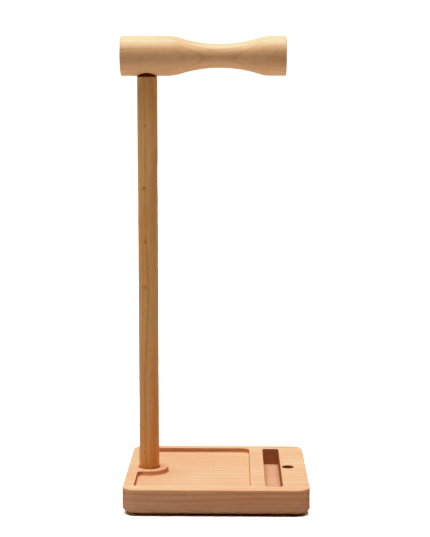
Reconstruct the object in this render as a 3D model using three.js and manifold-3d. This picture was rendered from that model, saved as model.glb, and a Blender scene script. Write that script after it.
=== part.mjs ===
// A knock-down wooden headphone stand: a routed tray base with a phone slot, a dowel post and a
// turned spool rest, with the hardware that holds them together and four rubber foot pads.
// Millimetres, +Z up. X runs along the rest, Y from front to back. The origin is at the centre of
// the stand's box, on the surface that it stands on.

import * as THREE from 'three';
import { mergeVertices } from 'three/addons/utils/BufferGeometryUtils.js';
import Module from 'manifold-3d';

const wasm = await Module();
wasm.setup();

// ---- driving dimensions ----

const fitGap = 0.3; // between pieces that touch
const roundSegments = 48;
const smallSegments = 24;

const base = {
  width: 107.4, depth: 100, thickness: 14.5, cornerRadius: 8, lowerChamfer: 2.2, upperChamfer: 0.8,
};
const tray = { rim: 6.5, floorDepth: 3, length: 67, cornerRadius: 4.5, bossFillet: 3 };
const boss = { radius: 11.4, fromBaseEdge: 12.8, socketDepth: 4 };
const slot = { width: 10, depth: 10, length: 84, fromTray: 8.5, cornerRadius: 1.5 };
const plugHole = { radius: 3.5, depth: 10, wallToSlot: 1 };
const counterbore = { radius: 6.5, depth: 5.5 };

const post = { radius: 6, length: 237, footChamfer: 0.4, shoulderChamfer: 0.3 };
const tenon = { radius: 5.3, height: 3 }; // on the post's top
const restSocket = { radius: 5.8 }; // takes the tenon, and shows as a dark arch above the post

const rest = {
  length: 96.5, radius: 11.55, waistRadius: 7, coveRadius: 78, shoulderRadius: 22,
  endRounding: 0.7, overhang: 2.5, waistFromPost: 42.3,
};

const pad = { radius: 5, thickness: 1.2, edgeRounding: 0.35, fromBaseEdge: 12 };

// M4 hardware
const threadRadius = 2;
const clearRadius = threadRadius + fitGap;
const screw = { headRadius: 4, headHeight: 3.1, length: 20, crossLength: 4.4, crossWidth: 1, crossDepth: 1.8 };
const washer = { radius: 4.5, thickness: 0.8 };
const insert = { radius: 3.25, postLength: 10, restLength: 9 };
const stud = { inPost: 18, inRest: 12 };
const tipRoom = 1.5; // left beyond the tip of the screw and of the stud
const tipChamfer = 0.6;

// ---- positions worked out from them ----

const baseX = rest.overhang / 2;
const baseLeft = baseX - base.width / 2;
const baseBottom = pad.thickness;
const baseTop = baseBottom + base.thickness;
const postX = baseLeft + boss.fromBaseEdge;
const trayLeft = baseLeft + tray.rim;
const trayRight = trayLeft + tray.length;
const trayHalfDepth = base.depth / 2 - tray.rim;
const trayFloor = baseTop - tray.floorDepth;
const slotLeft = trayRight + slot.fromTray;
const slotRight = slotLeft + slot.width;
const plugHoleX = slotRight + plugHole.wallToSlot + plugHole.radius;
const baseSocketFloor = baseTop - boss.socketDepth;
const counterboreCeiling = baseBottom + counterbore.depth;

const postBottom = baseSocketFloor + fitGap;
const postTop = postBottom + post.length;
const tenonTop = postTop + tenon.height;
const restBottom = postTop + fitGap;
const restAxisZ = restBottom + rest.radius;
const restLeft = baseLeft - rest.overhang;
const waistX = postX + rest.waistFromPost;

const washerTop = counterboreCeiling - fitGap;
const screwSeat = washerTop - washer.thickness - fitGap;
const screwTip = screwSeat + screw.length;
const postInsertBottom = postBottom + fitGap;
const postInsertTop = postInsertBottom + insert.postLength;
const restSocketCeiling = tenonTop + fitGap;
const restInsertBottom = restSocketCeiling + fitGap;
const restInsertTop = restInsertBottom + insert.restLength;
const studBottom = postTop - stud.inPost;
const studTop = postTop + stud.inRest;

// ---- solids ----

function toSolid(geometry) {
  const bare = geometry.index ? geometry.toNonIndexed() : geometry;
  bare.deleteAttribute('normal');
  bare.deleteAttribute('uv');
  const merged = mergeVertices(bare, 1e-4);
  const mesh = new wasm.Mesh({
    numProp: 3,
    vertProperties: Float32Array.from(merged.attributes.position.array),
    triVerts: Uint32Array.from(merged.index.array),
  });
  return new wasm.Manifold(mesh);
}

function toGeometry(solid) {
  const mesh = solid.getMesh();
  const geometry = new THREE.BufferGeometry();
  geometry.setAttribute('position', new THREE.BufferAttribute(mesh.vertProperties, 3));
  geometry.setIndex(new THREE.BufferAttribute(mesh.triVerts, 1));
  geometry.computeVertexNormals();
  return geometry;
}

// An upright round bar between two heights.
function bar(radius, low, high, x = 0, y = 0, segments = smallSegments) {
  const geometry = new THREE.CylinderGeometry(radius, radius, high - low, segments);
  geometry.rotateX(Math.PI / 2);
  geometry.translate(x, y, (low + high) / 2);
  return toSolid(geometry);
}

// A solid turned about an upright axis from [radius, height] pairs that start and end on the axis.
function turned(profile, x = 0, y = 0, segments = smallSegments) {
  const points = profile.map(([radius, height]) => new THREE.Vector2(radius, height));
  const geometry = new THREE.LatheGeometry(points, segments);
  geometry.rotateX(Math.PI / 2);
  geometry.translate(x, y, 0);
  return toSolid(geometry);
}

function block(width, depth, low, high, x, y) {
  const geometry = new THREE.BoxGeometry(width, depth, high - low);
  geometry.translate(x, y, (low + high) / 2);
  return toSolid(geometry);
}

function roundedRectangle(width, depth, radius, x) {
  const halfWidth = width / 2 - radius;
  const halfDepth = depth / 2 - radius;
  const shape = new THREE.Shape();
  shape.absarc(x + halfWidth, halfDepth, radius, 0, Math.PI / 2, false);
  shape.absarc(x - halfWidth, halfDepth, radius, Math.PI / 2, Math.PI, false);
  shape.absarc(x - halfWidth, -halfDepth, radius, Math.PI, 1.5 * Math.PI, false);
  shape.absarc(x + halfWidth, -halfDepth, radius, 1.5 * Math.PI, 2 * Math.PI, false);
  shape.closePath();
  return shape;
}

// An outline extruded between two heights, chamfered all round at both ends.
function prism(shape, low, high, chamfer = 0) {
  const geometry = new THREE.ExtrudeGeometry(shape, {
    depth: high - low - 2 * chamfer,
    curveSegments: 8,
    bevelEnabled: chamfer > 0,
    bevelThickness: chamfer,
    bevelSize: chamfer,
    bevelOffset: -chamfer,
    bevelSegments: 1,
  });
  geometry.translate(0, 0, low + chamfer);
  return toSolid(geometry);
}

// ---- tray base ----

// The tray runs round the boss, which grows out of its left wall with a small fillet on each side.
function trayOutline() {
  const filletX = trayLeft + tray.bossFillet;
  const reach = boss.radius + tray.bossFillet;
  const filletY = Math.sqrt(reach ** 2 - (filletX - postX) ** 2);
  const turn = Math.atan2(filletY, filletX - postX);
  const cornerX = [trayLeft + tray.cornerRadius, trayRight - tray.cornerRadius];
  const cornerY = trayHalfDepth - tray.cornerRadius;
  const shape = new THREE.Shape();
  shape.absarc(cornerX[1], cornerY, tray.cornerRadius, 0, Math.PI / 2, false);
  shape.absarc(cornerX[0], cornerY, tray.cornerRadius, Math.PI / 2, Math.PI, false);
  shape.absarc(filletX, filletY, tray.bossFillet, Math.PI, turn + Math.PI, false);
  shape.absarc(postX, 0, boss.radius, turn, -turn, true);
  shape.absarc(filletX, -filletY, tray.bossFillet, Math.PI - turn, Math.PI, false);
  shape.absarc(cornerX[0], -cornerY, tray.cornerRadius, Math.PI, 1.5 * Math.PI, false);
  shape.absarc(cornerX[1], -cornerY, tray.cornerRadius, 1.5 * Math.PI, 2 * Math.PI, false);
  shape.closePath();
  return shape;
}

function trayBase() {
  const outline = roundedRectangle(base.width, base.depth, base.cornerRadius, baseX);
  const slotX = (slotLeft + slotRight) / 2;
  const slotOutline = roundedRectangle(slot.width, slot.length, slot.cornerRadius, slotX);
  const above = baseTop + 2 * base.lowerChamfer;
  const below = baseBottom - 2 * base.upperChamfer;
  return prism(outline, baseBottom, above, base.lowerChamfer)
    .intersect(prism(outline, below, baseTop, base.upperChamfer))
    .subtract(prism(trayOutline(), trayFloor, above))
    .subtract(prism(slotOutline, baseTop - slot.depth, above))
    .subtract(bar(plugHole.radius, baseTop - plugHole.depth, above, plugHoleX))
    .subtract(bar(post.radius + fitGap, baseSocketFloor, above, postX, 0, roundSegments))
    .subtract(bar(counterbore.radius, below, counterboreCeiling, postX))
    .subtract(bar(clearRadius, below, above, postX));
}

// ---- post ----

function postDowel() {
  const { radius, footChamfer, shoulderChamfer } = post;
  const dowel = turned([
    [0, postBottom], [radius - footChamfer, postBottom], [radius, postBottom + footChamfer],
    [radius, postTop - shoulderChamfer], [radius - shoulderChamfer, postTop],
    [tenon.radius, postTop], [tenon.radius, tenonTop], [0, tenonTop],
  ], postX, 0, roundSegments);
  return dowel
    .subtract(bar(insert.radius + fitGap, postBottom - 1, postInsertTop + fitGap, postX))
    .subtract(bar(clearRadius, postBottom - 1, screwTip + tipRoom, postX))
    .subtract(bar(clearRadius, studBottom - tipRoom, tenonTop + 1, postX));
}

// ---- headphone rest ----

// Half of the spool's outline right of its waist: a hollow arc that runs into a rounded shoulder.
function coveHalf() {
  const reach = rest.coveRadius + rest.shoulderRadius;
  const rise = rest.radius - rest.waistRadius;
  const shoulderX = Math.sqrt(reach ** 2 - (reach - rise) ** 2);
  const lean = Math.asin(shoulderX / reach);
  const points = [];
  const coveSteps = 7;
  for (let i = 1; i <= coveSteps; i += 1) {
    const angle = (lean * i) / coveSteps;
    const radius = rest.waistRadius + rest.coveRadius * (1 - Math.cos(angle));
    points.push([radius, rest.coveRadius * Math.sin(angle)]);
  }
  const shoulderSteps = 3;
  for (let i = 1; i <= shoulderSteps; i += 1) {
    const angle = lean * (1 - i / shoulderSteps);
    const radius = rest.radius - rest.shoulderRadius * (1 - Math.cos(angle));
    points.push([radius, shoulderX - rest.shoulderRadius * Math.sin(angle)]);
  }
  return points;
}

function headphoneRest() {
  const { radius, endRounding, length } = rest;
  const half = coveHalf();
  const leftEnd = restLeft - waistX;
  const rightEnd = leftEnd + length;
  const endArc = [0, 1, 2, 3].map((i) => {
    const angle = (i * Math.PI) / 6;
    return [radius - endRounding + endRounding * Math.sin(angle), endRounding * (1 - Math.cos(angle))];
  });
  const profile = [
    [0, leftEnd],
    ...endArc.map(([r, inset]) => [r, leftEnd + inset]),
    ...half.map(([r, x]) => [r, -x]).reverse(),
    [rest.waistRadius, 0],
    ...half,
    ...endArc.map(([r, inset]) => [r, rightEnd - inset]).reverse(),
    [0, rightEnd],
  ];
  const points = profile.map(([r, x]) => new THREE.Vector2(r, x));
  const spool = new THREE.LatheGeometry(points, roundSegments);
  spool.rotateZ(-Math.PI / 2);
  spool.translate(waistX, 0, restAxisZ);
  const below = restAxisZ - 2 * radius;
  return toSolid(spool)
    .subtract(bar(restSocket.radius, below, restSocketCeiling, postX, 0, roundSegments))
    .subtract(bar(insert.radius + fitGap, below, restInsertTop + fitGap, postX))
    .subtract(bar(clearRadius, below, studTop + tipRoom, postX));
}

// ---- hardware ----

function baseScrew() {
  const headBottom = screwSeat - screw.headHeight;
  const body = turned([
    [0, headBottom], [0.55 * screw.headRadius, headBottom], [0.85 * screw.headRadius, headBottom + 0.6],
    [screw.headRadius, headBottom + 1.6], [screw.headRadius, screwSeat], [threadRadius, screwSeat],
    [threadRadius, screwTip - tipChamfer], [threadRadius - tipChamfer, screwTip], [0, screwTip],
  ], postX);
  const crossTop = headBottom + screw.crossDepth;
  const bladeX = block(screw.crossLength, screw.crossWidth, headBottom - 1, crossTop, postX, 0);
  const bladeY = block(screw.crossWidth, screw.crossLength, headBottom - 1, crossTop, postX, 0);
  return body.subtract(bladeX).subtract(bladeY);
}

function baseWasher() {
  const low = washerTop - washer.thickness;
  return bar(washer.radius, low, washerTop, postX).subtract(bar(clearRadius, low - 1, washerTop + 1, postX));
}

// Two plain collars with a groove between them, where the knurling is broken.
function threadedInsert(low, high) {
  const middle = (low + high) / 2;
  const grooveDepth = 0.5;
  const grooveHalf = 0.8;
  const outside = turned([
    [0, low], [insert.radius, low], [insert.radius, middle - grooveHalf],
    [insert.radius - grooveDepth, middle - grooveHalf / 2],
    [insert.radius - grooveDepth, middle + grooveHalf / 2],
    [insert.radius, middle + grooveHalf], [insert.radius, high], [0, high],
  ], postX);
  return outside.subtract(bar(clearRadius, low - 1, high + 1, postX));
}

// The hanger bolt: a pointed wood thread below, a machine thread above.
function restStud() {
  const pointLength = 4;
  return turned([
    [0, studBottom], [threadRadius, studBottom + pointLength],
    [threadRadius, studTop - tipChamfer], [threadRadius - tipChamfer, studTop], [0, studTop],
  ], postX);
}

function footPad(x, y) {
  const { radius, edgeRounding } = pad;
  const top = pad.thickness - fitGap;
  return turned([
    [0, 0], [radius - edgeRounding, 0], [radius, edgeRounding], [radius, top], [0, top],
  ], x, y);
}

// ---- the stand ----

const beech = { color: 0xe6b48c, roughness: 0.62, metalness: 0 };
const paleBeech = { color: 0xe9c193, roughness: 0.6, metalness: 0 };
const steel = { color: 0xb9bcc0, roughness: 0.35, metalness: 1 };
const brass = { color: 0xc9a35a, roughness: 0.4, metalness: 1 };
const rubber = { color: 0x2e2e2f, roughness: 0.9, metalness: 0 };

const stand = new THREE.Group();

function addPiece(name, solid, look) {
  const mesh = new THREE.Mesh(toGeometry(solid), new THREE.MeshStandardMaterial(look));
  mesh.name = name;
  stand.add(mesh);
}

addPiece('tray_base', trayBase(), beech);
addPiece('post', postDowel(), beech);
addPiece('headphone_rest', headphoneRest(), paleBeech);
addPiece('base_screw', baseScrew(), steel);
addPiece('base_washer', baseWasher(), steel);
addPiece('post_insert', threadedInsert(postInsertBottom, postInsertTop), brass);
addPiece('rest_insert', threadedInsert(restInsertBottom, restInsertTop), brass);
addPiece('rest_stud', restStud(), steel);

for (const [side, signX] of [['left', -1], ['right', 1]]) {
  for (const [end, signY] of [['front', -1], ['back', 1]]) {
    const x = baseX + signX * (base.width / 2 - pad.fromBaseEdge);
    const y = signY * (base.depth / 2 - pad.fromBaseEdge);
    addPiece(`foot_pad_${end}_${side}`, footPad(x, y), rubber);
  }
}

export default stand;
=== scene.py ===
"""The looks of a wooden headphone stand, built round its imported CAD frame. Metres, +Z up."""

import math

import bmesh
import bpy
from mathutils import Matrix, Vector
from mathutils.geometry import tessellate_polygon


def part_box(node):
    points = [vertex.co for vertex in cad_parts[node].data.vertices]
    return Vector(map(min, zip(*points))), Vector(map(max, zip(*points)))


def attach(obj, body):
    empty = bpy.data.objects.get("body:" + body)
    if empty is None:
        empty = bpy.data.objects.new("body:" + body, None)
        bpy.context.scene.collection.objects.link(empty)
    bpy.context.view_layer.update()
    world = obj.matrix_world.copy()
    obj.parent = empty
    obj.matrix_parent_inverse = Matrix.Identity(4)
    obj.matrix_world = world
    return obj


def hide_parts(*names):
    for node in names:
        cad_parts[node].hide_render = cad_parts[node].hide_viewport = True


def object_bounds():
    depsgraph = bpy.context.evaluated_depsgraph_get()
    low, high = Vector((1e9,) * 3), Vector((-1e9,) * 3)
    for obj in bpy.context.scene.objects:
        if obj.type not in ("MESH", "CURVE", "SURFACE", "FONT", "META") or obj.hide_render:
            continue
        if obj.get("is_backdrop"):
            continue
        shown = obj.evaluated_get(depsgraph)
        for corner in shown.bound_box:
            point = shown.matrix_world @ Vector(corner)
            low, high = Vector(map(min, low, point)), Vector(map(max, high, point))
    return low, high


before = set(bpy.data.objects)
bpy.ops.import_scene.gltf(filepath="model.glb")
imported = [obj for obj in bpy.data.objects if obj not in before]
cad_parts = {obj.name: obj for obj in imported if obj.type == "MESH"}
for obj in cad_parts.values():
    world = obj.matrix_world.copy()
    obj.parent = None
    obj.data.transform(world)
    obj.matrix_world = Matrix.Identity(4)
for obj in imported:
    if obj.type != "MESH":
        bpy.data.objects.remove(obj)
cad_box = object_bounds()

mm = 0.001
SAME_POINT = 1e-7  # metres: points that are nearer to each other than this are one

# ---------------------------------------------------------------------------------------------
# Sizes that the boxes of the CAD nodes don't give
# ---------------------------------------------------------------------------------------------

BASE_CORNER = 8 * mm
BASE_LOWER_CHAMFER = 2.2 * mm
BASE_UPPER_ROUNDING = 0.6 * mm
TRAY_RIM = 6.5 * mm
TRAY_LENGTH = 67 * mm
TRAY_DEPTH = 3 * mm
TRAY_CORNER = 4.5 * mm
TRAY_COVE = 0.8 * mm  # the fillet along its floor
BOSS_RADIUS = 11.4 * mm
BOSS_FILLET = 3 * mm
SLOT_FROM_TRAY = 8.5 * mm
SLOT_WIDTH = 10 * mm
SLOT_LENGTH = 84 * mm
SLOT_DEPTH = 10 * mm
SLOT_CORNER = 1.5 * mm
SLOT_COVE = 0.4 * mm
PLUG_RADIUS = 3.5 * mm
PLUG_DEPTH = 10 * mm
PLUG_FROM_SLOT = 1 * mm
DRILL_TIP = 0.6 * PLUG_RADIUS  # the height of the cone that the drill leaves
LIP = 0.35 * mm  # the rounding of the mouth of each pocket and bore in the base
PAST_LIP = LIP + 0.1 * mm
COUNTERBORE_RADIUS = 6.5 * mm
COUNTERBORE_DEPTH = 5.5 * mm
POST_CHAMFER = 0.4 * mm
POST_SHOULDER_CHAMFER = 0.3 * mm
TENON_RADIUS = 5.3 * mm
REST_SOCKET_RADIUS = 5.8 * mm
WAIST_FROM_POST = 42.3 * mm
WAIST_RADIUS = 7 * mm
REST_COVE_RADIUS = 78 * mm  # of the hollow that the headband lies in
REST_SHOULDER_RADIUS = 22 * mm  # of the swell on each side of the hollow
REST_END_ROUNDING = 0.7 * mm
THREAD_RADIUS = 2 * mm
MACHINE_PITCH = 0.7 * mm
INSERT_RADIUS = 3.25 * mm
JOINT_GAP = 0.25 * mm
THREAD_HOLE_RADIUS = THREAD_RADIUS + JOINT_GAP
INSERT_HOLE_RADIUS = INSERT_RADIUS + JOINT_GAP
FOOT_GAP = 0.45 * mm  # seen as a fine dark line round the post's foot
TOUCHING = 0.02 * mm  # between pieces that bear on each other
TIP_ROOM = 1.5 * mm  # between the end of a thread and the end of its hole

# ---------------------------------------------------------------------------------------------
# Light: radiances, as shares of white
# ---------------------------------------------------------------------------------------------

FLOOR_BOUNCE = 0.49
SEEN_WHITE = 1.7  # what the camera sees behind the floor
ROOM = 0.02
BACKDROP = 0.5
BACKDROP_DIRECTION = (-0.35, 0.94, 0.0)
BACKDROP_EDGES = (-0.05, 0.5)  # cosines of the angles from it where its glow starts and is full
LAMP = 9.7
LAMP_DIRECTION = (-0.05, -0.03, 1.0)
LAMP_EDGES = (0.90, 0.96)
UNDER = 0.7
UNDER_DIRECTION = (0.0, 0.0, -1.0)
UNDER_EDGES = (0.0, 0.3)

# ---------------------------------------------------------------------------------------------
# Camera
# ---------------------------------------------------------------------------------------------

CAMERA_PLACE = (12 * mm, -748 * mm, 223 * mm)
LENS = 85  # like the sensor's width, in millimetres
SENSOR_WIDTH = 36

# ---------------------------------------------------------------------------------------------
# Places, from the frame
# ---------------------------------------------------------------------------------------------

base_low, base_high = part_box("tray_base")
post_low, post_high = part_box("post")
rest_low, rest_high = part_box("headphone_rest")
screw_low, screw_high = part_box("base_screw")
washer_low, washer_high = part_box("base_washer")
stud_low, stud_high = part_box("rest_stud")
foot_insert_low, foot_insert_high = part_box("post_insert")
rest_insert_low, rest_insert_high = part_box("rest_insert")

post_x = (post_low.x + post_high.x) / 2
post_radius = (post_high.x - post_low.x) / 2
rest_z = (rest_low.z + rest_high.z) / 2
rest_radius = (rest_high.z - rest_low.z) / 2
waist_x = post_x + WAIST_FROM_POST

tray_low = (base_low.x + TRAY_RIM, base_low.y + TRAY_RIM)
tray_high = (tray_low[0] + TRAY_LENGTH, base_high.y - TRAY_RIM)
slot_low = (tray_high[0] + SLOT_FROM_TRAY, -SLOT_LENGTH / 2)
slot_high = (slot_low[0] + SLOT_WIDTH, SLOT_LENGTH / 2)
plug_x = slot_high[0] + PLUG_FROM_SLOT + PLUG_RADIUS


# ---------------------------------------------------------------------------------------------
# Outlines and profiles
# ---------------------------------------------------------------------------------------------


class Arc:
    """A stretch of a circle in plan. A hollow arc bends round something that stands in the outline."""

    def __init__(self, x, y, radius, start, end, hollow=False):
        self.x, self.y, self.radius = x, y, radius
        self.start, self.end, self.hollow = start, end, hollow

    def points(self, inset, steps):
        radius = self.radius + inset if self.hollow else self.radius - inset
        for i in range(steps + 1):
            angle = self.start + (self.end - self.start) * i / steps
            yield self.x + radius * math.cos(angle), self.y + radius * math.sin(angle)


QUARTER = math.pi / 2


def rounded_rectangle(low, high, radius):
    """Four corner arcs, anticlockwise, of a rectangle between two (x, y) corners."""
    left, right = low[0] + radius, high[0] - radius
    front, back = low[1] + radius, high[1] - radius
    return [
        Arc(right, back, radius, 0, QUARTER),
        Arc(left, back, radius, QUARTER, 2 * QUARTER),
        Arc(left, front, radius, 2 * QUARTER, 3 * QUARTER),
        Arc(right, front, radius, 3 * QUARTER, 4 * QUARTER),
    ]


def circle(x, y, radius):
    """A whole circle, as four arcs."""
    return rounded_rectangle((x - radius, y - radius), (x + radius, y + radius), radius)


def tray_outline():
    """The tray's plan: a rounded rectangle that runs round the boss at its left wall."""
    right_back, left_back, left_front, right_front = rounded_rectangle(tray_low, tray_high, TRAY_CORNER)
    fillet_x = tray_low[0] + BOSS_FILLET
    reach = BOSS_RADIUS + BOSS_FILLET
    fillet_y = math.sqrt(reach**2 - (fillet_x - post_x) ** 2)
    turn = math.atan2(fillet_y, fillet_x - post_x)
    return [
        right_back,
        left_back,
        Arc(fillet_x, fillet_y, BOSS_FILLET, math.pi, math.pi + turn),
        Arc(post_x, 0, BOSS_RADIUS, turn, -turn, hollow=True),
        Arc(fillet_x, -fillet_y, BOSS_FILLET, math.pi - turn, math.pi),
        left_front,
        right_front,
    ]


def outline_ring(outline, inset, z, steps):
    """The outline's points at one height, moved inwards by inset. Arcs that meet share a point."""
    ring = []
    for arc in outline:
        for x, y in arc.points(inset, steps):
            point = Vector((x, y, z))
            if not ring or (point - ring[-1]).length > SAME_POINT:
                ring.append(point)
    if (ring[0] - ring[-1]).length < SAME_POINT:
        ring.pop()
    return ring


def rounded(corners, steps=6):
    """A profile of (across, along) points from (across, along, radius) corners."""
    profile = [Vector(corners[0][:2])]
    for before, corner, after in zip(corners, corners[1:], corners[2:]):
        at, radius = Vector(corner[:2]), corner[2]
        if radius == 0:
            profile.append(at)
            continue
        back = (Vector(before[:2]) - at).normalized()
        ahead = (Vector(after[:2]) - at).normalized()
        half = back.angle(ahead) / 2
        centre = at + (back + ahead).normalized() * (radius / math.sin(half))
        first = at + back * (radius / math.tan(half)) - centre
        last = at + ahead * (radius / math.tan(half)) - centre
        sweep = first.angle_signed(last)
        for i in range(steps + 1):
            angle = -sweep * i / steps
            spoke = Vector((
                first.x * math.cos(angle) - first.y * math.sin(angle),
                first.x * math.sin(angle) + first.y * math.cos(angle),
            ))
            profile.append(centre + spoke)
    profile.append(Vector(corners[-1][:2]))
    return profile


# ---------------------------------------------------------------------------------------------
# Meshes
# ---------------------------------------------------------------------------------------------


class Shell:
    """Collects the rings and faces of one closed mesh."""

    def __init__(self):
        self.points = []
        self.faces = []

    def ring(self, points):
        """Adds the points, and returns their numbers."""
        first = len(self.points)
        self.points.extend(points)
        return list(range(first, len(self.points)))

    def band(self, one, other):
        """Joins two rings that have the same number of points, or a ring and a single point."""
        count = len(one)
        if len(other) == 1:
            self.faces += [(one[i], one[(i + 1) % count], other[0]) for i in range(count)]
            return
        for i in range(count):
            j = (i + 1) % count
            self.faces.append((one[i], one[j], other[j], other[i]))

    def bands(self, rings):
        """Joins each ring to the next, and returns the first and the last."""
        placed = [self.ring(ring) for ring in rings]
        for one, other in zip(placed, placed[1:]):
            if len(one) == 1:
                self.band(other, one)
            else:
                self.band(one, other)
        return placed[0], placed[-1]

    def cap(self, outer, *holes):
        """Fills a flat face that has any number of holes."""
        loops = [outer, *holes]
        flat = [index for loop in loops for index in loop]
        triangles = tessellate_polygon([[self.points[i] for i in loop] for loop in loops])
        self.faces += [tuple(flat[i] for i in triangle) for triangle in triangles]

    def build(self, name):
        """Makes the mesh an object, with its faces pointing out and its edges over 40 degrees sharp."""
        mesh = bpy.data.meshes.new(name)
        mesh.from_pydata(self.points, [], self.faces)
        form = bmesh.new()
        form.from_mesh(mesh)
        bmesh.ops.remove_doubles(form, verts=form.verts, dist=SAME_POINT)
        bmesh.ops.recalc_face_normals(form, faces=form.faces)
        form.to_mesh(mesh)
        form.free()
        mesh.shade_smooth()
        mesh.set_sharp_from_angle(angle=math.radians(40))
        piece = bpy.data.objects.new(name, mesh)
        bpy.context.scene.collection.objects.link(piece)
        return piece


def outline_bands(shell, outline, profile, steps=16):
    """Carries a profile of (inset, height) points round an outline."""
    return shell.bands([outline_ring(outline, inset, z, steps) for inset, z in profile])


def spun_ring(radius, along, centre, axis, segments):
    """A ring round an axis through centre, or a single point where the radius is nothing."""
    if radius < SAME_POINT:
        offsets = [(0.0, 0.0)]
    else:
        angles = [2 * math.pi * i / segments for i in range(segments)]
        offsets = [(radius * math.cos(a), radius * math.sin(a)) for a in angles]
    if axis == "Z":
        return [Vector((centre[0] + u, centre[1] + v, along)) for u, v in offsets]
    return [Vector((along, centre[0] + u, centre[1] + v)) for u, v in offsets]


def upright_rings(profile, segments=32):
    """Rings round the post's axis, from a profile of (radius, height) points."""
    return [spun_ring(r, z, (post_x, 0), "Z", segments) for r, z in profile]


def turned(name, profile, centre, axis="Z", segments=96):
    """A solid of revolution from a profile of (radius, along) points."""
    shell = Shell()
    shell.bands([spun_ring(r, along, centre, axis, segments) for r, along in profile])
    return shell.build(name)


def cut(piece, cutter):
    """Takes the cutter away from the piece for good. Edges over 32 degrees are sharp afterwards."""
    knife = piece.modifiers.new("cut", "BOOLEAN")
    knife.operation = "DIFFERENCE"
    knife.solver = "EXACT"
    knife.object = cutter
    bpy.context.view_layer.update()
    shown = piece.evaluated_get(bpy.context.evaluated_depsgraph_get())
    mesh = bpy.data.meshes.new_from_object(shown)
    piece.modifiers.clear()
    piece.data = mesh
    bpy.data.objects.remove(cutter)
    piece.data.set_sharp_from_angle(angle=math.radians(32))


# ---------------------------------------------------------------------------------------------
# Wooden pieces
# ---------------------------------------------------------------------------------------------


def tray_base():
    """The block, with the tray, the slot, the plug hole and the bore for the post and its screw."""
    top, bottom = base_high.z, base_low.z
    chamfer = BASE_LOWER_CHAMFER
    lower_arris, upper_arris = 0.5 * mm, 0.6 * mm
    shell = Shell()

    block = rounded_rectangle(base_low.xy, base_high.xy, BASE_CORNER)
    underside, land = outline_bands(shell, block, rounded([
        (chamfer + 2 * lower_arris, bottom),
        (chamfer, bottom, lower_arris),
        (0, bottom + chamfer, upper_arris),
        (0, top, BASE_UPPER_ROUNDING),
        (2 * BASE_UPPER_ROUNDING, top),
    ]), steps=24)

    def pocket(outline, depth, cove, steps):
        """A flat-bottomed pocket. Returns the ring where it breaks the top face."""
        flat_from = 1.25 * cove
        mouth, foot = outline_bands(shell, outline, rounded([
            (-PAST_LIP, top),
            (0, top, LIP),
            (0, top - depth, cove),
            (flat_from, top - depth),
        ], steps=4), steps)
        shell.cap(foot)
        return mouth

    tray = pocket(tray_outline(), TRAY_DEPTH, TRAY_COVE, steps=16)
    slot_plan = rounded_rectangle(slot_low, slot_high, SLOT_CORNER)
    slot = pocket(slot_plan, SLOT_DEPTH, SLOT_COVE, steps=8)

    nearly_pointed = 0.999 * PLUG_RADIUS
    plug, plug_floor = outline_bands(shell, circle(plug_x, 0, PLUG_RADIUS), rounded([
        (-PAST_LIP, top),
        (0, top, LIP),
        (0, top - PLUG_DEPTH + DRILL_TIP, 0),
        (nearly_pointed, top - PLUG_DEPTH),
    ], steps=4))
    shell.cap(plug_floor)

    socket_radius = post_radius + FOOT_GAP
    socket_floor = post_low.z - JOINT_GAP
    ceiling = bottom + COUNTERBORE_DEPTH
    bore = rounded([
        (socket_radius + PAST_LIP, top),
        (socket_radius, top, LIP),
        (socket_radius, socket_floor, 0),
        (THREAD_HOLE_RADIUS, socket_floor, 0),
        (THREAD_HOLE_RADIUS, ceiling, 0),
        (COUNTERBORE_RADIUS, ceiling, 0),
        (COUNTERBORE_RADIUS, bottom, LIP),
        (COUNTERBORE_RADIUS + PAST_LIP, bottom),
    ], steps=4)
    socket, counterbore = shell.bands(upright_rings(bore, segments=96))
    shell.cap(land, tray, slot, plug, socket)
    shell.cap(underside, counterbore)
    piece = shell.build("tray_base_beech")
    # painted shade in the tray, the slot and the plug hole
    paint_base_shade(piece)
    return piece


def painted_shade(piece, share):
    """Stores how much painted shade each point of a piece gets, by a function of its place."""
    marks = piece.data.attributes.new("painted_shade", "FLOAT", "POINT")
    for vertex, mark in zip(piece.data.vertices, marks.data):
        mark.value = share(*vertex.co)


def paint_base_shade(piece):
    """Paints shade into the recesses: the tray's upper walls, the whole slot, more towards the slot's
    ends, and most in the plug hole.
    """
    # how much painted shade the walls, the slot's ends and the plug hole get
    wall_shade, slot_end_shade, plug_hole_shade = 0.35, 0.58, 0.8
    slot_end_shade_reach = 1.6 * mm
    full_from = 0.5 * mm
    wall_depth = 0.8 * TRAY_DEPTH
    near = 0.2 * mm
    rim = TRAY_RIM - near

    def share(x, y, z):
        depth = base_high.z - z
        fade = min(1.0, depth / full_from)
        if math.hypot(x - plug_x, y) < PLUG_RADIUS + near:
            return plug_hole_shade * fade
        if slot_low[0] - near < x < slot_high[0] + near and abs(y) < slot_high[1] + near:
            near_end = 1 - (slot_high[1] - abs(y)) / slot_end_shade_reach
            return fade * max(wall_shade, min(slot_end_shade, near_end))
        outside = abs(y) > base_high.y - rim or not base_low.x + rim < x < base_high.x - rim
        round_post = math.hypot(x - post_x, y) < BOSS_RADIUS + near
        return 0.0 if outside or round_post or depth > wall_depth else wall_shade * fade

    painted_shade(piece, share)


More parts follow.
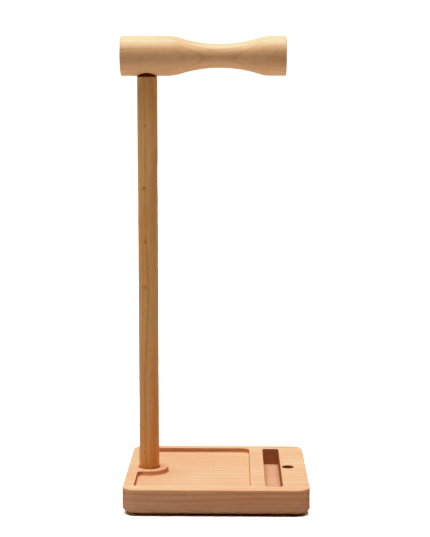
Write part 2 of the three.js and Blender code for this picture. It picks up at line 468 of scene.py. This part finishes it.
def post():
    """The dowel. Its foot stands in the base, and a tenon on its flat shoulder enters the spool."""
    crisp, soft = 0.1 * mm, 0.2 * mm
    lower_hole_end = screw_high.z + TIP_ROOM
    insert_hole_end = foot_insert_high.z + JOINT_GAP
    upper_hole_end = stud_low.z - TIP_ROOM
    shoulder = rest_low.z - TOUCHING
    # where the painted shade under the spool starts, and how far it takes to reach full
    painted_shade_low, painted_shade_fade = shoulder - 1.0 * mm, 0.5 * mm
    piece = turned("post_beech", rounded([
        (0, lower_hole_end),
        (THREAD_HOLE_RADIUS, lower_hole_end, 0),
        (THREAD_HOLE_RADIUS, insert_hole_end, 0),
        (INSERT_HOLE_RADIUS, insert_hole_end, 0),
        (INSERT_HOLE_RADIUS, post_low.z, 0),
        (post_radius - POST_CHAMFER, post_low.z, crisp),
        (post_radius, post_low.z + POST_CHAMFER, soft),
        (post_radius, painted_shade_low, 0),
        (post_radius, shoulder - POST_SHOULDER_CHAMFER, crisp),
        (post_radius - POST_SHOULDER_CHAMFER, shoulder, crisp),
        (TENON_RADIUS, shoulder, 0),
        (TENON_RADIUS, post_high.z, soft),
        (THREAD_HOLE_RADIUS, post_high.z, 0),
        (THREAD_HOLE_RADIUS, upper_hole_end, 0),
        (0, upper_hole_end),
    ]), (post_x, 0), segments=128)
    # Painted shade under the spool: the post darkens from 1 mm below its shoulder and is fully dark from
    # half a millimetre below it, tenon included.
    painted_shade(piece, lambda x, y, z: min(1.0, max(0.0, (z - painted_shade_low) / painted_shade_fade)))
    return piece


def cove_half(steps=20):
    """The spool's outline to one side of its waist, as (radius, distance from the waist) points."""
    reach = REST_COVE_RADIUS + REST_SHOULDER_RADIUS
    rise = rest_radius - WAIST_RADIUS
    shoulder_x = math.sqrt(reach**2 - (reach - rise) ** 2)
    lean = math.asin(shoulder_x / reach)
    points = []
    for i in range(1, steps + 1):
        angle = lean * i / steps
        radius = WAIST_RADIUS + REST_COVE_RADIUS * (1 - math.cos(angle))
        points.append((radius, REST_COVE_RADIUS * math.sin(angle)))
    for i in range(1, steps // 2 + 1):
        angle = lean * (1 - 2 * i / steps)
        radius = rest_radius - REST_SHOULDER_RADIUS * (1 - math.cos(angle))
        points.append((radius, shoulder_x - REST_SHOULDER_RADIUS * math.sin(angle)))
    return points


def headphone_rest():
    """The turned spool, bored from below for the post's tenon, the insert and the stud."""
    half = cove_half()
    end_reach = 3 * REST_END_ROUNDING

    def end(face, inward):
        return rounded([
            (rest_radius - end_reach, face),
            (rest_radius, face, REST_END_ROUNDING),
            (rest_radius, face + inward * end_reach),
        ], steps=8)

    profile = [
        (0, rest_low.x),
        *end(rest_low.x, 1),
        *[(r, waist_x - x) for r, x in reversed(half)],
        (WAIST_RADIUS, waist_x),
        *[(r, waist_x + x) for r, x in half],
        *reversed(end(rest_high.x, -1)),
        (0, rest_high.x),
    ]
    spool = turned("headphone_rest_beech", profile, (0, rest_z), axis="X", segments=160)
    well_below = rest_low.z - rest_radius
    socket_end = post_high.z + JOINT_GAP
    insert_hole_end = rest_insert_high.z + JOINT_GAP
    stud_hole_end = stud_high.z + TIP_ROOM
    bore = turned("rest_bore", [
        (0, well_below),
        (REST_SOCKET_RADIUS, well_below),
        (REST_SOCKET_RADIUS, socket_end),
        (INSERT_HOLE_RADIUS, socket_end),
        (INSERT_HOLE_RADIUS, insert_hole_end),
        (THREAD_HOLE_RADIUS, insert_hole_end),
        (THREAD_HOLE_RADIUS, stud_hole_end),
        (0, stud_hole_end),
    ], (post_x, 0))
    cut(spool, bore)
    # Painted shade: everything inside the bore, within the spool's outer skin, is fully dark.
    painted_shade_within = rest_radius - 0.3 * mm

    def share(x, y, z):
        in_bore = math.hypot(x - post_x, y) < REST_SOCKET_RADIUS + TOUCHING
        return float(in_bore and math.hypot(y, z - rest_z) < painted_shade_within)

    painted_shade(spool, share)
    return spool


# ---------------------------------------------------------------------------------------------
# Hardware
# ---------------------------------------------------------------------------------------------


def threaded_rings(low, high, radius, pitch, depth, segments=32, rows_per_turn=8):
    """Rings of an upright rounded thread that fades out at both ends."""
    rows = round((high - low) / pitch * rows_per_turn)
    for row in range(rows + 1):
        z = low + (high - low) * row / rows
        fade = min(1.0, row / rows_per_turn, (rows - row) / rows_per_turn)
        ring = []
        for i in range(segments):
            angle = 2 * math.pi * i / segments
            wave = 0.5 + 0.5 * math.cos(2 * math.pi * z / pitch - angle)
            r = radius - depth * (1 - fade * wave)
            ring.append(Vector((post_x + r * math.cos(angle), r * math.sin(angle), z)))
        yield ring


def base_screw():
    """A pan head machine screw with a cross recess, head down."""
    bottom = screw_low.z
    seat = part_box("base_washer")[0].z - TOUCHING
    head_radius = (screw_high.x - screw_low.x) / 2
    face_radius, side_height = 0.62 * head_radius, 1.7 * mm
    face_rounding, side_rounding, crisp = 1.6 * mm, 1.0 * mm, 0.15 * mm
    plain_to, thread_from, thread_to = seat + 1.0 * mm, seat + 1.4 * mm, screw_high.z - 0.6 * mm
    head = rounded([
        (0, bottom),
        (face_radius, bottom, face_rounding),
        (head_radius, bottom + side_height, side_rounding),
        (head_radius, seat, crisp),
        (THREAD_RADIUS, seat, crisp),
        (THREAD_RADIUS, plain_to),
    ])
    thread = threaded_rings(thread_from, thread_to, THREAD_RADIUS, MACHINE_PITCH, depth=0.35 * mm)
    tip_radius = THREAD_RADIUS - 0.7 * mm
    tip = upright_rings([(tip_radius, screw_high.z), (0, screw_high.z)])
    shell = Shell()
    shell.bands([*upright_rings(head), *thread, *tip])
    screw = shell.build("base_screw_zinc")
    cut(screw, cross_recess(bottom))
    return screw


def cross_recess(bottom):
    """The cutter for a cross recess: four tapering wings."""
    depth, overshoot = 1.9 * mm, 0.2 * mm
    reach, half_width, taper = 2.3 * mm, 0.5 * mm, 0.45
    between = 1.5 * half_width  # where two wings meet
    plan = []
    for quarter in range(4):
        cosine, sine = math.cos(quarter * QUARTER), math.sin(quarter * QUARTER)
        for u, v in ((reach, -half_width), (reach, half_width), (between, between)):
            plan.append((u * cosine - v * sine, u * sine + v * cosine))
    shell = Shell()
    low = shell.ring([Vector((post_x + u, v, bottom - overshoot)) for u, v in plan])
    high = shell.ring([Vector((post_x + taper * u, taper * v, bottom + depth)) for u, v in plan])
    shell.band(low, high)
    shell.cap(low)
    shell.cap(high)
    return shell.build("cross_recess")


def base_washer():
    """A stamped washer. It is thicker than its CAD node, so that it bears on the wood above it."""
    radius = (washer_high.x - washer_low.x) / 2
    soft, crisp, added = 0.25 * mm, 0.08 * mm, 0.25 * mm
    low, high = washer_low.z, washer_high.z + added
    middle = (radius + THREAD_HOLE_RADIUS) / 2
    return turned("base_washer_zinc", rounded([
        (middle, low),
        (radius, low, soft),
        (radius, high, crisp),
        (THREAD_HOLE_RADIUS, high, crisp),
        (THREAD_HOLE_RADIUS, low, soft),
        (middle, low),
    ]), (post_x, 0))


def threaded_insert(name, low, high):
    """A press-in insert: two knurled collars with a groove between, threaded inside."""
    ridges, knurl, knurl_fade = 40, 0.16 * mm, 0.3 * mm
    segments = 4 * ridges
    chamfer, arris = 0.4 * mm, 0.1 * mm
    middle = (low + high) / 2
    groove_foot, groove_mouth = 0.45 * mm, 0.9 * mm
    groove_radius = INSERT_RADIUS - 0.5 * mm
    collar = rounded([
        (INSERT_RADIUS - chamfer, low),
        (INSERT_RADIUS, low + chamfer, arris),
        (INSERT_RADIUS, middle - groove_mouth, arris),
        (groove_radius, middle - groove_foot, arris),
        (groove_radius, middle + groove_foot, arris),
        (INSERT_RADIUS, middle + groove_mouth, arris),
        (INSERT_RADIUS, high - chamfer, arris),
        (INSERT_RADIUS - chamfer, high),
    ], steps=3)
    outside = []
    for r, z in collar:
        ring = []
        share = max(0.0, 1 - (INSERT_RADIUS - r) / knurl_fade)
        for i in range(segments):
            angle = 2 * math.pi * i / segments
            ridge = 0.5 + 0.5 * math.cos(ridges * angle)
            radius = r - knurl * share * (1 - ridge)
            ring.append(Vector((post_x + radius * math.cos(angle), radius * math.sin(angle), z)))
        outside.append(ring)
    hole_radius = THREAD_RADIUS + 0.3 * mm
    mouth_radius = hole_radius + 0.2 * mm
    thread_from, thread_to, depth = low + chamfer, high - chamfer, 0.25 * mm
    inside = list(threaded_rings(
        thread_from, thread_to, hole_radius, MACHINE_PITCH, depth, segments, rows_per_turn=6
    ))
    mouth, back = upright_rings([(mouth_radius, low), (mouth_radius, high)], segments)
    shell = Shell()
    first, last = shell.bands([*outside, back, *reversed(inside), mouth])
    shell.band(last, first)
    return shell.build(name)


def rest_stud():
    """The hanger bolt: a coarse wood thread below, a plain neck, a machine thread above."""
    bottom, top, middle = stud_low.z, stud_high.z, post_high.z
    point = 4 * mm
    tip = upright_rings([
        (0, bottom),
        (0.5 * THREAD_RADIUS, bottom + 0.5 * point),
        (0.72 * THREAD_RADIUS, bottom + point),
    ])
    wood_low, wood_high, wood_pitch = bottom + 1.1 * point, middle - 1.5 * mm, 1.8 * mm
    wood = threaded_rings(
        wood_low, wood_high, THREAD_RADIUS, wood_pitch, depth=0.55 * mm, rows_per_turn=12
    )
    machine_low, machine_high = middle + 0.5 * mm, top - 0.6 * mm
    machine = threaded_rings(machine_low, machine_high, THREAD_RADIUS, MACHINE_PITCH, depth=0.3 * mm)
    end_radius = THREAD_RADIUS - 0.6 * mm
    end = upright_rings([(end_radius, top), (0, top)])
    shell = Shell()
    shell.bands([*tip, *wood, *machine, *end])
    return shell.build("rest_stud_zinc")


def foot_pad(node):
    """A rubber pad whose underside curves up a little towards its rim. It is stuck to the base."""
    low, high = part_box(node)
    radius = (high.x - low.x) / 2
    flat_radius, rim_height = radius - 1.2 * mm, 0.25 * mm
    under_rounding, rim_rounding, crisp = 2 * mm, 0.25 * mm, 0.08 * mm
    centre = ((low.x + high.x) / 2, (low.y + high.y) / 2)
    top = base_low.z - 0.01 * mm
    return turned(node + "_rubber", rounded([
        (0, 0),
        (flat_radius, 0, under_rounding),
        (radius, rim_height, rim_rounding),
        (radius, top, crisp),
        (0, top),
    ]), centre)


# ---------------------------------------------------------------------------------------------
# Materials
# ---------------------------------------------------------------------------------------------


def linear(*srgb):
    """A colour as the shader wants it, from sRGB shares."""
    return (*[(c / 12.92 if c <= 0.04045 else ((c + 0.055) / 1.055) ** 2.4) for c in srgb], 1.0)


def scaled(colour, *shares):
    """A colour with each of its sRGB shares made smaller."""
    return linear(*[c * share for c, share in zip(colour, shares)])


class Finish:
    """Builds one node material. Its methods take numbers or sockets, and return a socket."""

    def __init__(self, name, **shader):
        self.material = bpy.data.materials.new(name)
        self.material.use_nodes = True
        self.tree = self.material.node_tree
        self.tree.nodes.clear()
        output = self.add("ShaderNodeOutputMaterial")
        self.shader = self.add("ShaderNodeBsdfPrincipled")
        self.tree.links.new(self.shader.outputs["BSDF"], output.inputs["Surface"])
        for socket, value in shader.items():
            self.shader.inputs[socket.replace("_", " ")].default_value = value
        coordinates = self.add("ShaderNodeTexCoord")
        self.normal = coordinates.outputs["Normal"]
        self.place = self.vector("SCALE", coordinates.outputs["Object"])
        self.place.node.inputs["Scale"].default_value = 1 / mm

    def add(self, kind, **settings):
        node = self.tree.nodes.new(kind)
        for key, value in settings.items():
            setattr(node, key, value)
        return node

    def feed(self, node, socket, value):
        if isinstance(value, bpy.types.NodeSocket):
            self.tree.links.new(value, node.inputs[socket])
        else:
            node.inputs[socket].default_value = value

    def give(self, socket, value):
        """Links a socket to the shader."""
        self.feed(self.shader, socket, value)

    def math(self, operation, *values, clamp=False):
        node = self.add("ShaderNodeMath", operation=operation, use_clamp=clamp)
        for i, value in enumerate(values):
            self.feed(node, i, value)
        return node.outputs[0]

    def sum(self, one, other):
        return self.math("ADD", one, other)

    def less(self, one, other):
        return self.math("SUBTRACT", one, other)

    def times(self, one, other):
        return self.math("MULTIPLY", one, other)

    def vector(self, operation, *values):
        node = self.add("ShaderNodeVectorMath", operation=operation)
        for i, value in enumerate(values):
            self.feed(node, i, value)
        return node.outputs["Value" if operation in ("LENGTH", "DOT_PRODUCT") else "Vector"]

    def separate(self, vector):
        node = self.add("ShaderNodeSeparateXYZ")
        self.feed(node, 0, vector)
        return node.outputs

    def combine(self, x, y, z):
        node = self.add("ShaderNodeCombineXYZ")
        for i, value in enumerate((x, y, z)):
            self.feed(node, i, value)
        return node.outputs[0]

    def noise(self, vector, scale=1.0, detail=2.0, roughness=0.5):
        node = self.add("ShaderNodeTexNoise")
        self.feed(node, "Vector", vector)
        self.feed(node, "Scale", scale)
        self.feed(node, "Detail", detail)
        self.feed(node, "Roughness", roughness)
        return node.outputs["Fac"]

    def cells(self, vector):
        """The distance to the nearest of scattered points, and a random share for that point."""
        node = self.add("ShaderNodeTexVoronoi", feature="F1")
        self.feed(node, "Vector", vector)
        self.feed(node, "Scale", 1.0)
        return node.outputs["Distance"], self.separate(node.outputs["Color"])[0]

    def scatter(self, value):
        """A steady random number for each whole number."""
        node = self.add("ShaderNodeTexWhiteNoise", noise_dimensions="1D")
        self.feed(node, "W", value)
        return node.outputs["Value"]

    def map(self, value, low, high, new_low=0.0, new_high=1.0, smooth=True):
        """Carries a value from one range to another, and holds it at the ends."""
        kind = "SMOOTHSTEP" if smooth else "LINEAR"
        node = self.add("ShaderNodeMapRange", interpolation_type=kind)
        for i, item in enumerate((value, low, high, new_low, new_high)):
            self.feed(node, i, item)
        return node.outputs[0]

    def mix(self, share, one, other, blend="MIX"):
        """Mixes two colours. The node has its sockets for numbers and vectors before those for colours."""
        node = self.add("ShaderNodeMix", data_type="RGBA", blend_type=blend)
        colour_a, colour_b, colour_result = 6, 7, 2
        self.feed(node, 0, share)
        self.feed(node, colour_a, one)
        self.feed(node, colour_b, other)
        return node.outputs[colour_result]

    def shade(self, colour, red, green, blue):
        """The colour multiplied by three shares."""
        return self.mix(1.0, colour, self.combine(red, green, blue), "MULTIPLY")

    def bump(self, height, distance, strength):
        node = self.add("ShaderNodeBump")
        self.feed(node, "Height", height)
        self.feed(node, "Distance", distance)
        self.feed(node, "Strength", strength)
        return node.outputs["Normal"]


class Beech(Finish):
    """Beech whose grain runs along one axis. It is solid: a face cut across the grain shows rings.

    pith is how far the tree's middle lies from the origin across the grain, and ring is the
    spacing of the growth rings, both in millimetres. turned_marks is the height of the lathe's
    marks, as a share of the bump, and gloss is the specular level of the oiled face."""

    def __init__(self, name, grain, pith, pale, ring=2.6, turned_marks=0.0, gloss=0.35):
        super().__init__(name, IOR=1.45, Specular_IOR_Level=gloss)
        x, y, z = self.separate(self.place)
        facing_x, _, facing_z = self.separate(self.normal)
        facing_grain = facing_x if grain == "X" else facing_z
        self.along, self.across, self.up = (x, y, z) if grain == "X" else (z, x, y)
        self.cut_across = self.map(self.math("ABSOLUTE", facing_grain), 0.55, 0.97)
        self.find_pith(pith)
        late = self.late_wood(ring)
        fibre = self.stretched_noise(stretch=0.045, scale=1.5, detail=4, roughness=0.62)
        vessels = self.stretched_noise(stretch=0.16, scale=6.5)
        flecks = self.ray_flecks()

        colour = self.grain_colour(pale, late, fibre, vessels, flecks)
        colour = self.end_grain(colour)
        self.give("Base Color", self.with_painted_shade(colour, fibre))

        smoother_flecks, rougher_ends = 0.08, 0.12
        rough = self.map(fibre, 0.2, 0.8, 0.50, 0.64, smooth=False)
        rough = self.less(rough, self.times(flecks, smoother_flecks))
        rougher = self.times(self.cut_across, rougher_ends)
        self.give("Roughness", self.math("ADD", rough, rougher, clamp=True))

        fibre_height, vessel_depth, late_depth = 0.6, 0.5, 0.15
        height = self.less(self.times(fibre, fibre_height), self.times(vessels, vessel_depth))
        height = self.less(height, self.times(late, late_depth))
        if turned_marks:
            tool = self.noise(self.combine(self.along, 0.0, 0.0), scale=3.2, detail=3, roughness=0.65)
            height = self.sum(height, self.times(tool, turned_marks))
        self.give("Normal", self.bump(height, 0.06 * mm, 0.8))

    def stretched_noise(self, stretch, scale, detail=2.0, roughness=0.5):
        """Noise that is drawn out along the grain."""
        place = self.combine(self.times(self.along, stretch), self.across, self.up)
        return self.noise(place, scale, detail, roughness)

    def find_pith(self, pith):
        """Works out how far each point is from the pith, and in which direction.

        The tree didn't grow quite straight, so both drift slowly along the grain."""
        stretch, far_off = 0.35, (31.0, 7.0, 53.0)
        wander, frequency = 7.0, 0.022
        drift = self.combine(self.times(self.along, stretch), self.across, self.up)
        other_drift = self.vector("ADD", drift, far_off)
        away = []
        for place, middle, seed in ((self.across, pith[0], drift), (self.up, pith[1], other_drift)):
            shift = self.times(self.noise(seed, frequency), wander)
            away.append(self.sum(self.less(place, middle), shift))
        self.radius = self.vector("LENGTH", self.combine(*away, 0.0))
        self.angle = self.math("ARCTAN2", away[1], away[0])

    def late_wood(self, ring):
        """Growth rings: each darkens towards its late wood and ends sharply, and no two are alike."""
        most_uneven = 1.6  # years
        years = self.math("DIVIDE", self.radius, ring)
        uneven = self.noise(self.combine(years, 0.0, 0.0), scale=0.45, detail=1)
        years = self.sum(years, self.times(uneven, most_uneven))
        season = self.math("FRACT", years)
        depth = self.map(self.scatter(self.math("FLOOR", years)), 0, 1, 0.2, 1, smooth=False)
        growing = self.map(season, 0.40, 0.95)
        ending = self.map(season, 0.955, 1.0, 1.0, 0.0)
        return self.times(self.times(growing, ending), depth)

    def ray_flecks(self):
        """Thin brown lenses, a few millimetres long and a fifth of one wide, that point at the pith.

        They show on the faces that are cut along the grain."""
        per_mm_along, per_mm_round, per_mm_inwards = 0.19, 1.9, 0.22
        place = self.combine(
            self.times(self.along, per_mm_along),
            self.times(self.times(self.angle, self.radius), per_mm_round),
            self.times(self.radius, per_mm_inwards),
        )
        distance, luck = self.cells(place)
        size = self.map(luck, 0, 1, 0.13, 0.27, smooth=False)
        flecks = self.map(self.math("DIVIDE", distance, size), 0.55, 1.0, 1.0, 0.0)
        strength = self.map(luck, 0, 1, 0.25, 0.85, smooth=False)
        return self.times(self.times(flecks, strength), self.less(1.0, self.cut_across))

    def grain_colour(self, pale, late, fibre, vessels, flecks):
        """The pale wood, with pinkish clouds, and with the darker late wood, vessels and flecks."""
        late_share, vessel_share, fleck_share = 0.62, 0.32, 0.6
        clouds = self.stretched_noise(stretch=0.3, scale=0.05)
        pink = scaled(pale, 0.985, 0.945, 0.935)
        late_colour = scaled(pale, 0.90, 0.80, 0.70)
        fleck_colour = scaled(pale, 0.78, 0.62, 0.48)
        colour = self.mix(self.map(clouds, 0.35, 0.68), linear(*pale), pink)
        colour = self.mix(self.times(late, late_share), colour, late_colour)
        shade = self.map(fibre, 0.25, 0.75, 0.90, 1.06, smooth=False)
        colour = self.shade(colour, shade, shade, shade)
        colour = self.mix(self.map(vessels, 0.56, 0.76, 0.0, vessel_share), colour, late_colour)
        return self.mix(self.times(flecks, fleck_share), colour, fleck_colour)

    def end_grain(self, colour):
        """Cut ends drink the oil and are darker, and the rays there are hair-thin radial lines."""
        rays_per_radian, stretch = 75.0, 0.12
        fan = self.combine(self.times(self.angle, rays_per_radian), self.times(self.radius, stretch), 0.0)
        darker = self.map(self.noise(fan), 0.35, 0.7, 0.80, 0.92)
        ends = self.shade(colour, darker, self.times(darker, 0.95), self.times(darker, 0.87))
        return self.mix(self.cut_across, colour, ends)

    def with_painted_shade(self, colour, fibre):
        """Paints shade where the mesh marks it: light marks dull the wood towards grey, strong ones turn
        it deep brown.
        """
        mark = self.add("ShaderNodeAttribute", attribute_name="painted_shade").outputs["Fac"]
        patchy = self.map(fibre, 0.3, 0.6, 0.82, 0.98)
        # painted shade colours: a dull grey for light shade, a brown for deep shade
        dull = linear(0.48, 0.46, 0.44)
        brown = linear(0.47, 0.25, 0.10)
        tone = self.mix(self.map(mark, 0.35, 0.6), dull, brown)
        return self.mix(self.times(mark, patchy), colour, tone)


def plated(name, colour, rough):
    """Plated or plain metal with a fine mottle and hairline scratches."""
    finish = Finish(name, Metallic=1.0)
    scratches_per_mm = (14.0, 2.0, 14.0)
    mottle = finish.noise(finish.place, scale=1.6, detail=3)
    scratches = finish.noise(finish.vector("MULTIPLY", finish.place, scratches_per_mm))
    dull = scaled(colour, 0.84, 0.84, 0.84)
    finish.give("Base Color", finish.mix(finish.map(mottle, 0.35, 0.7), linear(*colour), dull))
    finish.give("Roughness", finish.map(scratches, 0.3, 0.7, rough - 0.08, rough + 0.1, smooth=False))
    finish.give("Normal", finish.bump(scratches, 0.01 * mm, 0.5))
    return finish.material


def rubber(name):
    """Black rubber with a fine pebble and a little dust."""
    finish = Finish(name, IOR=1.5)
    pebbles_per_mm = (3.0, 3.0, 3.0)
    pebble, _ = finish.cells(finish.vector("MULTIPLY", finish.place, pebbles_per_mm))
    dust = finish.noise(finish.place, scale=0.5, detail=3)
    black = linear(0.12, 0.12, 0.125)
    dusty = linear(0.20, 0.19, 0.185)
    finish.give("Base Color", finish.mix(finish.map(dust, 0.4, 0.75), black, dusty))
    finish.give("Roughness", finish.map(dust, 0.3, 0.7, 0.72, 0.9, smooth=False))
    finish.give("Normal", finish.bump(pebble, 0.05 * mm, 0.6))
    return finish.material


# ---------------------------------------------------------------------------------------------
# The stand
# ---------------------------------------------------------------------------------------------

base_beech = Beech("beech_base", "X", (-62.0, -95.0), (0.930, 0.738, 0.597)).material
post_beech = Beech("beech_post", "Z", (-70.0, 55.0), (0.955, 0.765, 0.550), ring=2.2).material
rest_beech = Beech(
    "beech_rest", "X", (121.0, 285.0), (0.965, 0.785, 0.600), ring=2.3, turned_marks=0.35, gloss=0.9
).material
zinc = plated("zinc_plated_steel", (0.80, 0.81, 0.83), 0.34)
brass = plated("turned_brass", (0.86, 0.70, 0.40), 0.30)
pad_rubber = rubber("pad_rubber")


def place(piece, material, slot, *nodes):
    """Dresses a piece and lets it stand for its CAD nodes."""
    piece.data.materials.clear()
    piece.data.materials.append(material)
    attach(piece, "root")
    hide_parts(*nodes)


place(tray_base(), base_beech, "base_beech", "tray_base")
place(post(), post_beech, "post_beech", "post")
place(headphone_rest(), rest_beech, "rest_beech", "headphone_rest")
place(base_screw(), zinc, "zinc_steel", "base_screw")
place(base_washer(), zinc, "zinc_steel", "base_washer")
place(rest_stud(), zinc, "zinc_steel", "rest_stud")
for node, low, high in (
    ("post_insert", foot_insert_low.z, foot_insert_high.z),
    ("rest_insert", rest_insert_low.z, rest_insert_high.z),
):
    place(threaded_insert(node + "_brass", low, high), brass, "brass", node)
for end in ("front", "back"):
    for side in ("left", "right"):
        node = f"foot_pad_{end}_{side}"
        place(foot_pad(node), pad_rubber, "pad_rubber", node)

# ---------------------------------------------------------------------------------------------
# Stage, lights and camera
# ---------------------------------------------------------------------------------------------


class Stage:
    """Joins the shader nodes of the floor or the world."""

    def __init__(self, owner):
        owner.use_nodes = True
        self.tree = owner.node_tree
        self.tree.nodes.clear()

    def add(self, kind, *inputs, **settings):
        """Adds a node. Each input is a number, a colour or a vector to set, or a socket to link."""
        node = self.tree.nodes.new(kind)
        for key, value in settings.items():
            setattr(node, key, value)
        for socket, value in zip(node.inputs, inputs):
            if isinstance(value, bpy.types.NodeSocket):
                self.tree.links.new(value, socket)
            else:
                socket.default_value = value
        return node

    def ramp(self, value, low, high, new_low, new_high):
        """A smooth step from new_low to new_high while the value goes from low to high."""
        node = self.add(
            "ShaderNodeMapRange", value, low, high, new_low, new_high, interpolation_type="SMOOTHSTEP"
        )
        return node.outputs[0]

    def math(self, operation, one, other):
        return self.add("ShaderNodeMath", one, other, operation=operation).outputs[0]


def floor():
    """A plain white floor. It is overexposed to the camera, as in a catalogue, and clear from below."""
    reach = 6.0  # metres
    mesh = bpy.data.meshes.new("floor")
    corners = [(-reach, -reach, 0), (reach, -reach, 0), (reach, reach, 0), (-reach, reach, 0)]
    mesh.from_pydata(corners, [], [(0, 1, 2, 3)])
    plane = bpy.data.objects.new("floor", mesh)
    bpy.context.scene.collection.objects.link(plane)
    material = bpy.data.materials.new("floor_white")
    mesh.materials.append(material)
    plane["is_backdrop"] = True

    stage = Stage(material)
    white = stage.add("ShaderNodeBsdfDiffuse", (1, 1, 1, 1)).outputs[0]
    grey = stage.add("ShaderNodeBsdfDiffuse", (*[FLOOR_BOUNCE] * 3, 1)).outputs[0]
    clear = stage.add("ShaderNodeBsdfTransparent").outputs[0]
    seen = stage.add("ShaderNodeAddShader", white, white).outputs[0]
    rays = stage.add("ShaderNodeLightPath").outputs
    side = stage.add("ShaderNodeNewGeometry").outputs["Backfacing"]
    through_it = stage.math("GREATER_THAN", rays["Transparent Depth"], 0.5)
    from_below = stage.math("MAXIMUM", side, through_it)
    above = stage.add("ShaderNodeMixShader", rays["Is Camera Ray"], grey, seen).outputs[0]
    both = stage.add("ShaderNodeMixShader", from_below, above, clear).outputs[0]
    stage.add("ShaderNodeOutputMaterial", both)


def studio():
    """A dim room with a pale backdrop behind the stand, a soft lamp above it and a glow below the floor.

    The camera itself sees plain white everywhere."""
    world = bpy.data.worlds.new("studio")
    bpy.context.scene.world = world
    stage = Stage(world)
    direction = stage.add("ShaderNodeTexCoord").outputs["Generated"]

    def towards(aim):
        aim = Vector(aim).normalized()
        return stage.add("ShaderNodeVectorMath", direction, aim, operation="DOT_PRODUCT").outputs["Value"]

    backdrop = stage.ramp(towards(BACKDROP_DIRECTION), *BACKDROP_EDGES, ROOM, BACKDROP)
    lamp = stage.ramp(towards(LAMP_DIRECTION), *LAMP_EDGES, 0.0, LAMP)
    under = stage.ramp(towards(UNDER_DIRECTION), *UNDER_EDGES, 0.0, UNDER)
    glow = stage.math("ADD", stage.math("ADD", backdrop, lamp), under)
    seen = stage.add("ShaderNodeLightPath").outputs["Is Camera Ray"]
    strength = stage.math("MAXIMUM", glow, stage.math("MULTIPLY", seen, SEEN_WHITE))
    background = stage.add("ShaderNodeBackground", (1, 1, 1, 1), strength).outputs[0]
    stage.add("ShaderNodeOutputWorld", background)


def camera():
    """Looks at the middle of the stand from in front of it, a little below its top."""
    stand_middle = (cad_box[0] + cad_box[1]) / 2
    data = bpy.data.cameras.new("camera")
    data.sensor_width = SENSOR_WIDTH
    data.lens = LENS
    view = bpy.data.objects.new("camera", data)
    view.location = CAMERA_PLACE
    view.rotation_mode = "QUATERNION"
    view.rotation_quaternion = (stand_middle - view.location).to_track_quat("-Z", "Y")
    bpy.context.scene.collection.objects.link(view)
    bpy.context.scene.camera = view


def print_contrast():
    """Deepens the shadows and rolls off the lights, as a catalogue print does."""
    white, toe, knee, roll = 1.6, 0.13, 0.6, 0.30
    curve_points = (0.03, 0.08, 0.16, 0.3, 0.45, knee, 0.8, 1.0, 1.2, 1.4)

    def printed(light):
        if light > knee:
            return 1 - (1 - printed(knee)) * math.exp((knee - light) / roll)
        return light * light / (light + toe * (1 - light))

    view = bpy.context.scene.view_settings
    view.view_transform = "Standard"
    view.use_curve_mapping = True
    view.curve_mapping.white_level = (white, white, white)
    combined_curve = view.curve_mapping.curves[3]
    for light in curve_points:
        combined_curve.points.new(light / white, printed(light))
    view.curve_mapping.update()


floor()
studio()
camera()
print_contrast()

shown_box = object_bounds()
boxes = {"cad": cad_box, "shown": shown_box}
{name: [list(low), list(high)] for name, (low, high) in boxes.items()}
